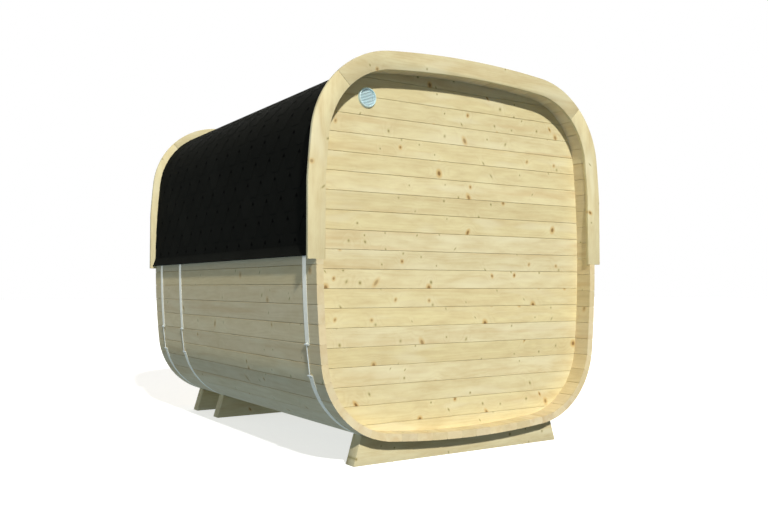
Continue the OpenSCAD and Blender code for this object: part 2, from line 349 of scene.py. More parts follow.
@dataclass(frozen=True)
class Spruce:
    """Planed spruce with year rings, streaks and knots, read along each board's own grain."""

    name: str
    pale: Colour = (0.757, 0.674, 0.391)
    late: Colour = (0.600, 0.480, 0.245)
    heart: Colour = (0.600, 0.430, 0.205)
    cream: Colour = (0.800, 0.740, 0.490)
    knots: tuple[Knots, ...] = (
        Knots(0.245, 0.55, (0.011, 0.021), (0.24, 0.140, 0.045), (0.62, 0.39, 0.120), 1.0),
        Knots(0.130, 0.40, (0.006, 0.011), (0.25, 0.21, 0.075), (0.54, 0.45, 0.200), 0.9),
    )
    ring_gap: float = 0.0085
    warp: float = 0.040
    bend: float = 0.016
    late_share: float = 0.24
    ring_share: float = 0.17
    streak_share: float = 0.5
    cloud_share: float = 1.7
    heart_share: Pair = (0.08, 0.46)
    cream_share: float = 0.5
    rim_share: float = 0.75
    blush_turns: float = 7.31
    tone_reach: float = 0.08
    cast: float = 0.033
    cast_turns: float = 3.7
    figure: float = 1.0
    roughness: float = 0.58

    def _casts(self) -> list[Colour]:
        """The warmest and the coolest pale wood among the boards."""
        red, green, blue = self.pale
        return [(red, green + part * 0.3, blue + part) for part in (-self.cast, self.cast)]

    def material(self) -> Material:
        """Builds the node tree.

        Returns:
            The finished material.
        """
        g = Graph(self.name)
        grain, tone = g.attribute("grain", "Vector"), g.tone()
        scatters = [kind.scatter(g, grain) for kind in self.knots]
        cores = sum((core for core, _, _ in scatters), 0.0)
        swirl = sum((bend for _, _, bend in scatters), 0.0)

        _, across, deep = g.parts(grain)
        warp = g.streaks(grain, 1.6, 8.0, detail=3.0)
        reach = (across * across + deep * deep) ** 0.5 + warp * self.warp + swirl * self.bend
        rings = (reach * (math.tau / self.ring_gap)).wave()
        streak = g.streaks(grain, 3.0, 70.0, detail=3.0, rough=0.6)
        cloud = g.streaks(grain, 5.0, 17.0, detail=4.0, rough=0.6)
        figure = (streak - 0.5) * self.streak_share + (cloud - 0.5) * self.cloud_share
        shade = rings * rings * self.ring_share + figure * self.figure + self.late_share
        pale = g.blend((tone * self.cast_turns).fraction(), *self._casts())
        wood = g.blend(shade.held(), pale, self.late)

        least, more = self.heart_share
        blush = least + (tone * self.blush_turns).fraction() * more
        blush = g.streaks(grain, 0.9, 13.0).rise(0.48, 0.70) * blush
        wood = g.blend(blush.held(), wood, self.heart)
        patch = g.streaks(grain, 2.4, 12.0, detail=1.0).rise(0.52, 0.74)
        patch = patch * self.cream_share * self.figure + swirl * 0.14
        wood = g.blend(patch.held(), wood, self.cream)
        for kind, (core, rim, _) in zip(self.knots, scatters):
            wood = g.blend(rim * kind.strength * self.rim_share, wood, kind.rim)
            wood = g.blend(core * kind.strength, wood, kind.core)
        strength = 1.0 - self.tone_reach * 0.5 + tone * self.tone_reach
        fibre = g.streaks(grain, 14.0, 420.0)
        return g.finish(
            Base_Color=g.vector("SCALE", {0: wood, 3: strength}),
            Roughness=self.roughness + streak * 0.14 - cores * 0.12,
            Normal=g.relief(rings * 0.4 + fibre * 0.6 - cores * 0.5, 0.0008, 0.35),
            Specular_IOR_Level=0.20,
        )


@dataclass(frozen=True)
class Felt:
    """Bitumen felt with mineral granules. Tone 0 is a near-black painted shadow for the notches
    between tabs.
    """

    name: str
    granule: Colour = (0.0084, 0.0087, 0.0071)
    light: Colour = (0.0175, 0.0179, 0.0145)
    # near-black painted shadow, used where the tone is 0 (the notch sheets)
    bare: Colour = (0.0006, 0.0006, 0.0006)
    roughness: float = 0.84

    def material(self) -> Material:
        """Builds the node tree.

        Returns:
            The finished material.
        """
        g = Graph(self.name)
        place, tone = g.place(), g.tone()
        fine = g.noise(place, scale=420.0, rough=0.7)
        grit = g.noise(place, scale=150.0, rough=0.6)
        cloud = g.noise(place, scale=5.0, detail=3.0)
        share = fine.rise(0.5, 0.72) * 0.55 + (cloud - 0.5) * 0.8 + (tone - 0.5) * 0.25
        colour = g.blend(share.held(), self.granule, self.light)
        return g.finish(
            # a tone near 0 turns the felt into the near-black painted notch shadow
            Base_Color=g.blend(1 - tone.rise(0.05, 0.15), colour, self.bare),
            Roughness=self.roughness + grit * 0.14,
            Normal=g.relief(fine * 0.6 + grit * 0.6, 0.0016, 0.7),
            Specular_IOR_Level=0.015,
        )


@dataclass(frozen=True)
class Zinc:
    """Galvanised steel with a soft spangle and faint rolling marks."""

    name: str
    bright: Colour = (0.95, 0.96, 0.88)
    dull: Colour = (0.84, 0.86, 0.78)
    metal: float = 0.55
    roughness: float = 0.36
    spangle: float = 75.0

    def material(self) -> Material:
        """Builds the node tree.

        Returns:
            The finished material.
        """
        g = Graph(self.name)
        place = g.place()
        flakes = g.node("ShaderNodeTexVoronoi", None, {"Vector": place, "Scale": self.spangle})
        flake, lustre, _ = g.parts(flakes.outputs["Color"])
        cloud = g.noise(place, scale=9.0, detail=3.0)
        rolled = g.streaks(place, 900.0, 900.0, detail=1.0)
        share = (flake * 0.5 + (cloud - 0.35) * 0.8).held()
        return g.finish(
            Base_Color=g.blend(share, self.bright, self.dull),
            Metallic=self.metal,
            Roughness=self.roughness + lustre * 0.16 + cloud * 0.1,
            Normal=g.relief(rolled * 0.3 + flake * 0.2, 0.0004, 0.25),
        )


@dataclass(frozen=True)
class Moulded:
    """Moulded plastic with a fine texture, a faint sheen and a little dust in it."""

    name: str
    colour: Colour = (0.690, 0.885, 0.905)
    dust: Colour = (0.76, 0.84, 0.80)
    metal: float = 0.2
    roughness: float = 0.40

    def material(self) -> Material:
        """Builds the node tree.

        Returns:
            The finished material.
        """
        g = Graph(self.name)
        place = g.place()
        pebble = g.noise(place, scale=1300.0, detail=1.0)
        cloud = g.noise(place, scale=38.0, detail=3.0)
        return g.finish(
            Base_Color=g.blend(cloud.rise(0.42, 0.8) * 0.5, self.colour, self.dust),
            Metallic=self.metal,
            Roughness=self.roughness + cloud * 0.14,
            Normal=g.relief(pebble, 0.0003, 0.3),
        )


@dataclass(frozen=True)
class Gauze:
    """Woven insect gauze: pale threads, with the dark between them painted shade of the duct
    behind.
    """

    name: str
    thread: Colour = (0.42, 0.52, 0.56)
    # painted shade of the duct, seen between the threads of the solid disc
    gap: Colour = (0.16, 0.20, 0.22)
    mesh_size: float = 0.0022
    roughness: float = 0.6

    def material(self) -> Material:
        """Builds the node tree.

        Returns:
            The finished material.
        """
        g = Graph(self.name)
        x, _, z = g.parts(g.place())
        turn = math.tau / self.mesh_size
        weave = (x * turn).wave() * (z * turn).wave()
        return g.finish(
            # between the threads the colour turns to the painted duct shade
            Base_Color=g.blend(weave.rise(0.15, 0.45), self.thread, self.gap),
            Roughness=self.roughness + weave * 0.2,
            Normal=g.relief(1 - weave, 0.0004, 0.5),
        )


class Palette:
    """The finishes of the sauna, each built once."""

    def __init__(self) -> None:
        """Builds every material."""
        wall = Spruce("wall_wood")
        few = tuple(kind.fewer(0.45, 0.7) for kind in wall.knots)
        some = tuple(kind.fewer(0.75, 1.0) for kind in wall.knots)
        self.walls = wall.material()
        self.staves = Spruce(
            "stave_wood", knots=few, pale=(0.772, 0.655, 0.405), tone_reach=0.13, figure=0.6
        ).material()
        self.trims = Spruce("trim_wood", knots=some, tone_reach=0.20, figure=1.1).material()
        self.door = Spruce("door_wood", knots=few).material()
        self.cradles = Spruce("cradle_wood", tone_reach=0.24, figure=1.2).material()
        self.felt = Felt("roof_felt").material()
        self.bands = Zinc("band_zinc").material()
        self.fittings = Zinc(
            "fitting_zinc", bright=(0.74, 0.78, 0.76), dull=(0.60, 0.64, 0.62), spangle=160.0
        ).material()
        self.vent = Moulded("vent_plastic").material()
        self.gauze = Gauze("vent_gauze").material()


# ---- Outline ----


@dataclass(frozen=True)
class Arc:
    """An arc of the first quarter of the outline."""

    centre: Pair
    radius: float
    start: float
    end: float

    def length(self) -> float:
        """Length along the arc."""
        return self.radius * (self.end - self.start)

    def point(self, angle: float, off: float) -> Pair:
        """The point in that direction, moved out by off."""
        reach = self.radius + off
        return self.centre[0] + reach * math.cos(angle), self.centre[1] + reach * math.sin(angle)


@dataclass
class Outline:
    """The cross-section over the staves: four bowed sides and four round corners.

    A place on it is the distance along it from the middle of the right-hand side, upwards. It goes
    on over the ceiling, down the left-hand side and under the floor.
    """

    width: float
    height: float
    mid: float
    side_bow: float = 6.4
    top_bow: float = 6.0
    corner: float = 0.52
    stave_t: float = 0.045
    band_t: float = 0.002
    arcs: list[Arc] = field(init=False)

    def __post_init__(self) -> None:
        """Finds the arcs that meet without a kink."""
        side = Vector((self.width / 2 - self.side_bow, 0))
        top = Vector((0, self.height / 2 - self.top_bow))
        near, far = self.side_bow - self.corner, self.top_bow - self.corner
        gap = (side - top).length
        unit = (side - top) / gap
        along = (far * far - near * near + gap * gap) / (2 * gap)
        turn = top + along * unit + math.sqrt(far * far - along * along) * Vector((unit.y, -unit.x))
        side_a = math.atan2(turn.y - side.y, turn.x - side.x)
        top_a = math.atan2(turn.y - top.y, turn.x - top.x)
        self.arcs = [
            Arc(tuple(side), self.side_bow, 0.0, side_a),
            Arc(tuple(turn), self.corner, side_a, top_a),
            Arc(tuple(top), self.top_bow, top_a, math.pi / 2),
        ]

    @property
    def quarter(self) -> float:
        """Length of a quarter of the outline."""
        return sum(arc.length() for arc in self.arcs)

    def point(self, along: float, off: float) -> Pair:
        """A point of the outline.

        Args:
            along: Distance along the outline.
            off: Distance outwards from the staves' outer face.

        Returns:
            X, and Z above the ground.
        """
        turns, rest = divmod(along, self.quarter)
        quadrant = int(turns) % 4
        rest = rest if quadrant % 2 == 0 else self.quarter - rest
        arc = self.arcs[0]
        for after in self.arcs[1:]:
            if rest < arc.length():
                break
            rest -= arc.length()
            arc = after
        x, z = arc.point(arc.start + rest / arc.radius, off)
        return (-x if quadrant in (1, 2) else x), self.mid + (-z if quadrant in (2, 3) else z)

    def spot(self, along: float, off: float, y: float, side: Side = Side.RIGHT) -> Vector:
        """A place over the outline, or over its mirror on the left-hand side."""
        x, z = self.point(along, off)
        return Vector((side.value * x, y, z))

    def along_corner(self, angle: float) -> float:
        """Distance along to where the first round corner faces that direction."""
        return self.arcs[0].length() + self.corner * (angle - self.arcs[1].start)

    def along_height(self, height: float) -> float:
        """Distance along to a height above the middle.

        Args:
            height: The height, on the bowed side or the round corner.

        Returns:
            The distance along the first quarter.
        """
        side, turn = self.arcs[:2]
        if height < side.point(side.end, 0.0)[1]:
            return self.side_bow * math.asin(height / self.side_bow)
        return self.along_corner(math.asin((height - turn.centre[1]) / turn.radius))

    def half_width(self, height: float, off: float) -> float:
        """Half the width of the outline at a height.

        Args:
            height: The height from the middle.
            off: How far the outline is moved out.

        Returns:
            Half the width there.
        """
        level = abs(height)
        arc = next((a for a in self.arcs if level <= a.point(a.end, off)[1]), self.arcs[-1])
        squared = (arc.radius + off) ** 2 - (level - arc.centre[1]) ** 2
        return arc.centre[0] + math.sqrt(max(squared, 0.0))


def evenly(start: float, end: float, step: float) -> list[float]:
    """Evenly spaced places from start to end, no further apart than step."""
    count = max(1, math.ceil((end - start) / step - 1e-6))
    return [start + (end - start) * i / count for i in range(count + 1)]


def circle(sides: int) -> list[float]:
    """The angles of the corners of a round."""
    return [math.tau * i / sides for i in range(sides)]


def layer(stops: Sequence[float], outer: float, inner: float) -> list[Pair]:
    """The closed section of a layer between two distances from the staves' outer face."""
    return [(s, outer) for s in stops] + [(s, inner) for s in reversed(stops)]


def upright(x: float, z: float, y: float) -> Vector:
    """The place of a corner of an upright section, at a distance along the sauna."""
    return Vector((x, y, z))


def drawn(u: float, v: float, w: float) -> Vector:
    """Grain that runs the way in which a section is drawn out."""
    return Vector((w, u, v))


def both(pattern: str) -> list[str]:
    """The names of a left and a right node."""
    return [pattern.format(side.word) for side in Side]


def placed(name: str, data: bpy.types.ID) -> bpy.types.Object:
    """Adds an object to the scene.

    Args:
        name: Its name.
        data: Its mesh, light or camera.

    Returns:
        The new object.
    """
    made = bpy.data.objects.new(name, data)
    bpy.context.scene.collection.objects.link(made)
    return made


# ---- Meshes ----


class Timber:
    """Collects the faces of a piece, with the grain and tone that its finish reads."""

    def __init__(self, name: str, seed: int = 0) -> None:
        """Starts an empty piece.

        Args:
            name: The piece's name.
            seed: Seed of its own row of random numbers.
        """
        self.name = name
        self.mesh = bmesh.new()
        self.grain = self.mesh.loops.layers.float_vector.new("grain")
        self.tone_layer = self.mesh.faces.layers.float.new("tone")
        self.chance = random.Random(f"{name}{seed}")
        self.welds: dict[tuple[int, ...], bmesh.types.BMVert] = {}
        self.tone = 0.5
        self.pith = Vector((0, 0, 0))

    def board(self, pith: Pair = (0.09, 0.16), tone: float | None = None) -> None:
        """Starts a new board: its own tone, and its own place in the tree.

        Args:
            pith: Least and greatest depth of the tree's heart behind the board.
            tone: The board's tone, if it isn't left to chance.
        """
        self.welds.clear()
        draw = self.chance.uniform
        self.tone = self.chance.random() if tone is None else tone
        self.pith = Vector(
            (draw(-TREE_ALONG, TREE_ALONG), draw(-TREE_ASIDE, TREE_ASIDE), draw(*pith))
        )

    def face(self, corners: Sequence[Corner]) -> None:
        """Adds one face, which shares its corners with the board's other faces.

        Args:
            corners: Its corners, anticlockwise from outside.
        """
        seen: dict[bmesh.types.BMVert, Vector] = {}
        for place, grain in corners:
            key = tuple(round(c * WELDS_PER_METRE) for c in place)
            if key not in self.welds:
                self.welds[key] = self.mesh.verts.new(place)
            seen.setdefault(self.welds[key], grain)
        if len(seen) < 3 or self.mesh.faces.get(list(seen)):
            return
        made = self.mesh.faces.new(list(seen))
        made[self.tone_layer] = self.tone
        for loop, grain in zip(made.loops, seen.values()):
            loop[self.grain] = grain + self.pith

    def loft(self, rings: Sequence[Sequence[Corner]], closed: bool = False) -> None:
        """Joins a row of rings.

        Args:
            rings: The corners of each ring, all in the same order.
            closed: Whether the last ring joins the first one, so that it needs no end faces.
        """
        for ring, after in zip(rings, [*rings[1:], rings[0]] if closed else rings[1:]):
            for i in range(len(ring)):
                j = (i + 1) % len(ring)
                self.face([ring[i], ring[j], after[j], after[i]])
        if not closed:
            self.face(rings[0][::-1])
            self.face(rings[-1])

    def prism(
        self,
        section: Sequence[Pair],
        ends: Sequence[float],
        place: Placing,
        grain: Placing = drawn,
    ) -> None:
        """Stretches a closed section from its first end, through any stops, to its last.

        Args:
            section: Corners of the section, in its own two measures.
            ends: Near end, any stops between and far end.
            place: Turns the two measures and a distance between the ends into a place.
            grain: Turns them into grain: along, across and depth.
        """
        self.loft([[(place(u, v, w), grain(u, v, w)) for u, v in section] for w in ends])

    def block(self, low: Sequence[float], high: Sequence[float], grain: Grain) -> None:
        """Adds a square block of timber.

        Args:
            low: Its lowest corner.
            high: Its highest corner.
            grain: The axis of its grain.
        """
        axis = grain.value
        first, second = (i for i in range(3) if i != axis)
        (a0, b0), (a1, b1) = [(c[first], c[second]) for c in (low, high)]
        mid_a, mid_b = (a0 + a1) / 2, (b0 + b1) / 2

        def place(u: float, v: float, w: float) -> Vector:
            """Puts two measures across and one along on their axes."""
            return Vector([{first: u, second: v, axis: w}[i] for i in range(3)])

        self.prism(
            [(a0, b0), (a1, b0), (a1, b1), (a0, b1)],
            (low[axis], high[axis]),
            place,
            lambda u, v, w: Vector((w, u - mid_a, v - mid_b)),
        )

    def plank(self, low: Sequence[float], high: Sequence[float], grain: Grain) -> None:
        """Adds a block that is a board of its own."""
        self.board()
        self.block(low, high, grain)

    def rod(self, start: Vector, end: Vector, radius: float, sides: int = 20) -> None:
        """Adds a round or many-sided bar.

        Args:
            start: Middle of its one end.
            end: Middle of its other end.
            radius: Its radius to a corner.
            sides: How many sides it has.
        """
        axis = (end - start).normalized()
        first = axis.orthogonal().normalized()
        second = axis.cross(first)
        self.prism(
            [(radius * math.cos(a), radius * math.sin(a)) for a in circle(sides)],
            (0.0, (end - start).length),
            lambda u, v, w: start + first * u + second * v + axis * w,
        )

    def bevel(self, width: float, segments: int = 2) -> None:
        """Rounds every sharp edge.

        Args:
            width: Width of the rounding.
            segments: Flats across it.
        """
        bmesh.ops.recalc_face_normals(self.mesh, faces=self.mesh.faces[:])
        shared = [edge for edge in self.mesh.edges if len(edge.link_faces) == 2]
        sharp = [edge for edge in shared if edge.calc_face_angle(0.0) > SHARP_ABOVE]
        settings = {"offset_type": "OFFSET", "profile": 0.5, "affect": "EDGES"}
        settings |= {"offset": width, "segments": segments, "clamp_overlap": True}
        bmesh.ops.bevel(self.mesh, geom=sharp, **settings)

    def done(self, material: Material, slot: str, *nodes: str) -> None:
        """Turns the faces into a piece that rides on the sauna.

        Args:
            material: Its finish.
            slot: The record's material slot of the piece. Not used.
            nodes: The frame's nodes that it stands for.
        """
        bmesh.ops.recalc_face_normals(self.mesh, faces=self.mesh.faces[:])
        mesh = bpy.data.meshes.new(self.name)
        self.mesh.to_mesh(mesh)
        self.mesh.free()
        mesh.shade_smooth()
        mesh.set_sharp_from_angle(angle=SMOOTH_BELOW)
        mesh.materials.append(material)
        piece = placed(self.name, mesh)
        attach(piece, BODY)
        if nodes:
            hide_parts(*nodes)
        LOG.info("%s: %d faces", self.name, len(mesh.polygons))


# ---- Shell ----


@dataclass
class Shell:
    """The lengthwise staves of the shell."""

    outline: Outline
    palette: Palette
    count: int = 70
    first_joint: float = -0.0915
    gap: float = 0.0016
    chamfer: float = 0.0024
    inner_chamfer: float = 0.0018
    joint_deep: float = 0.010
    flats: int = 4

    def build(self) -> None:
        """Builds the staves above and below the feet of the trims."""
        low_end, high_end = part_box("side_wall_right"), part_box("upper_wall_right")
        foot = self.outline.along_height(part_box("rear_trim_right")[0].z - self.outline.mid)
        half = 2 * self.outline.quarter
        lower, upper = Timber("lower_staves"), Timber("upper_staves")
        pitch = 4 * self.outline.quarter / self.count
        for i in range(self.count):
            start = self.first_joint + i * pitch
            end = start + pitch
            tone = lower.chance.random()
            cuts = [start, *(cut for cut in (foot, half - foot) if start < cut < end), end]
            for s0, s1 in zip(cuts, cuts[1:]):
                above = foot < (s0 + s1) / 2 < half - foot
                timber, box = (upper, high_end) if above else (lower, low_end)
                timber.board(tone=tone)
                self._stave(timber, (s0, s1), (s0 == start, s1 == end), (box[0].y, box[1].y))
        low_runs = ("floor", *both("lower_edge_{}"), *both("side_wall_{}"))
        high_runs = ("ceiling", *both("upper_edge_{}"), *both("upper_wall_{}"))
        lower.done(self.palette.staves, "wood", *low_runs)
        upper.done(self.palette.staves, "wood", *high_runs)

    def _stave(self, timber: Timber, span: Pair, planed: tuple[bool, bool], ends: Pair) -> None:
        """Adds one stave.

        Args:
            timber: The piece that it belongs to.
            span: Where it starts and ends along the outline.
            planed: Whether each of its two edges has a chamfer and a gap.
            ends: Its rear and front ends along Y.
        """
        mid, deep, thick = sum(span) / 2, self.joint_deep, self.outline.stave_t
        outer = self._skin(span, planed, self.chamfer, 0.0, deep)
        inner = self._skin(span, planed, self.inner_chamfer, -thick, -deep)
        timber.prism(
            outer + inner[::-1],
            ends,
            self.outline.spot,
            lambda s, off, y: Vector((y, s - mid, off)),
        )

    def _skin(
        self, span: Pair, planed: tuple[bool, bool], soft: float, level: float, deep: float
    ) -> list[Pair]:
        """One face of a stave, with its chamfers and the open part of its joints.

        Args:
            span: Where the stave starts and ends along the outline.
            planed: Whether each of its two edges has a chamfer and a gap.
            soft: Width of the chamfer.
            level: Distance of the face from the outline.
            deep: Depth of the open joint, inwards from the face.

        Returns:
            The face's corners, as distances along and off the outline.
        """
        sides, ends = [], []
        chamfer = math.copysign(soft, deep)
        for edge, inward, free in zip(span, (1, -1), planed):
            shut = edge + inward * self.gap / 2
            side = [(shut, level - chamfer), (shut, level - deep), (edge, level - deep)]
            sides.append(side if free else [])
            ends.append(shut + inward * soft if free else edge)
        stops = evenly(*ends, (span[1] - span[0]) / self.flats)
        return [*sides[0][::-1], *((s, level) for s in stops), *sides[1]]


# ---- End walls ----


@dataclass
class EndWall:
    """A wall of lying boards inside the shell, whose first node gives its two faces."""

    end: End
    nodes: Sequence[str]
    outline: Outline
    palette: Palette
    opening: tuple[Vector, Vector] | None = None
    pitch: float = 0.115
    first_joint: float = -0.228
    gap: float = 0.0014
    chamfer: float = 0.0020
    tuck: float = 0.003
    arc_step: float = 0.05
    cut_gaps: Pair = (0.002, 0.0005)
    least: float = 0.001
    seed: int = 5

    def build(self) -> None:
        """Builds all boards, split round the opening if there is one."""
        low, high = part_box(self.nodes[0])
        timber = Timber(f"{self.end.word}_boards", self.seed)
        top = self.outline.height / 2 - self.outline.stave_t + self.tuck
        base = self.first_joint - self.pitch * math.floor((self.first_joint + top) / self.pitch + 1)
        for i in range(math.ceil((top - base) / self.pitch)):
            z0, z1 = base + i * self.pitch, base + (i + 1) * self.pitch
            if z1 <= -top or z0 >= top:
                continue
            timber.board(tone=timber.chance.random())
            for part in self._spans(max(z0, -top), min(z1, top)):
                timber.welds.clear()
                self._board(timber, part, (z0, z1), (low.y, high.y)[:: self.end.value])
        timber.done(self.palette.walls, "wall_boards", *self.nodes)

    def _spans(self, z0: float, z1: float) -> Iterator[tuple[float, float, float, float]]:
        """Leaves the opening out of a board.

        Args:
            z0: Lower edge of the board, from the middle.
            z1: Its upper edge.

        Yields:
            Each part that is left, as x0, x1, z0 and z1.
        """
        wide = self.outline.width
        (x_low, _, bottom), (x_high, _, head) = self.opening or (Vector(), Vector())
        bottom, head = bottom - self.outline.mid, head - self.outline.mid
        if not self.opening or z1 <= bottom or z0 >= head:
            yield -wide, wide, z0, z1
            return
        yield -wide, x_low, z0, z1
        yield x_high, wide, z0, z1
        if z0 < bottom:
            yield x_low, x_high, z0, bottom
        if z1 > head:
            yield x_low, x_high, head, z1

    def _board(
        self, timber: Timber, span: Sequence[float], course: Pair, faces: Sequence[float]
    ) -> None:
        """Adds one board, cut to the inside of the shell.

        Args:
            timber: The piece that it belongs to.
            span: Its limits x0, x1, z0, z1, the heights from the middle.
            course: Heights of the joints of its course, from the middle.
            faces: Its inner and outer faces along Y.
        """
        x0, x1, z0, z1 = span
        off = self.tuck - self.outline.stave_t
        back, front = faces
        mid = sum(course) / 2
        low_planed, high_planed = z0 <= course[0], z1 >= course[1]
        low = z0 + self.gap / 2 * low_planed
        high = z1 - self.gap / 2 * high_planed
        first, last = low + self.chamfer * low_planed, high - self.chamfer * high_planed
        stops = evenly(0, self.outline.quarter, self.arc_step)
        levels = [self.outline.point(s, off)[1] - self.outline.mid for s in stops]
        above, below = self.cut_gaps
        cuts = {z for level in levels for z in (-level, level) if first + above < z < last - below}
        rows = [(z, front) for z in sorted({first, last} | cuts)]
        eased = front - self.chamfer * self.end.value
        rows = [(low, eased)] * low_planed + rows + [(high, eased)] * high_planed

        def corner(x: float, y: float, z: float) -> Corner:
            """A corner of the board, at a height from the middle."""
            return Vector((x, y, z + self.outline.mid)), Vector((x, z - mid, y - front))

        rings = []
        for z, face in rows:
            reach = max(self.outline.half_width(z, off), self.least)
            near, far = max(x0, -reach), min(x1, reach)
            edges = ((near, face), (far, face), (far, back), (near, back))
            rings.append([corner(x, y, z) for x, y in edges])
        timber.loft(rings)


# ---- Vent ----


@dataclass
class Vent:
    """The round louvred vent in the rear wall."""

    palette: Palette
    rim: float = 0.010
    lip_t: float = 0.0015
    lip_slope: float = 0.004
    round_r: float = 0.003
    round_steps: int = 5
    inner_chamfer: float = 0.0025
    blade_t: float = 0.0020
    blade_pitch: float = 0.0090
    blade_tilt: float = math.radians(52)
    blade_deep: float = 0.0060
    blade_tuck: float = 0.001
    gauze_t: float = 0.0015
    sides: int = 64

    def build(self) -> None:
        """Builds the flange, its blades and the gauze behind them."""
        low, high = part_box("vent")
        back = (low + high) / 2
        back.y = low.y
        radius = (high.x - low.x) / 2
        timber = Timber("vent_grille")
        timber.board()
        self._flange(timber, back, radius, high.y)
        self._blades(timber, back, radius - self.rim)
        timber.done(self.palette.vent, "vent_plastic", "vent")
        gauze = Timber("vent_gauze")
        gauze.board()
        face = back + Vector((0, self.gauze_t, 0))
        gauze.rod(back, face, radius - self.rim / 2, self.sides)
        gauze.done(self.palette.gauze, "vent_plastic")

    def _flange(self, timber: Timber, back: Vector, radius: float, front: float) -> None:
        """Adds the turned flange.

        Args:
            timber: The piece that it belongs to.
            back: Its middle, at the wall.
            radius: Its outer radius.
            front: Its front face along Y.
        """
        clear, soft = radius - self.rim, self.inner_chamfer
        crest, level = radius - self.lip_slope - self.round_r, front - self.round_r
        profile = [(radius, back.y), (radius, back.y + self.lip_t)]
        for i in range(self.round_steps):
            angle = math.pi / 8 * (1 + 3 * i / (self.round_steps - 1))
            across, out = self.round_r * math.cos(angle), self.round_r * math.sin(angle)
            profile.append((crest + across, level + out))
        profile += [(clear + soft, front), (clear, front - soft), (clear, back.y)]
        rings = [
            [Vector((back.x + r * math.cos(a), y, back.z + r * math.sin(a))) for r, y in profile]
            for a in circle(self.sides)
        ]
        timber.loft([[(place, place) for place in ring] for ring in rings], closed=True)

    def _blades(self, timber: Timber, back: Vector, clear: float) -> None:
        """Adds the blades.

        Args:
            timber: The piece that they belong to.
            back: The vent's middle, at the wall.
            clear: The flange's inner radius.
        """
        sine, cosine = math.sin(self.blade_tilt), math.cos(self.blade_tilt)
        deep = Vector((0, cosine, -sine)) * self.blade_deep
        thick = Vector((0, sine, cosine)) * self.blade_t
        count = math.floor((clear - 2 * self.blade_t) / self.blade_pitch)
        for i in range(-count, count + 1):
            timber.welds.clear()
            level = i * self.blade_pitch
            half = math.sqrt(clear * clear - level * level) + self.blade_tuck
            heart = back + Vector((0, self.blade_deep / 2, level))
            timber.prism(
                [(-0.5, -0.5), (0.5, -0.5), (0.5, 0.5), (-0.5, 0.5)],
                (-half, half),
                lambda u, v, w, heart=heart: heart + deep * u + thick * v + Vector((w, 0, 0)),
            )


# ---- Door ----


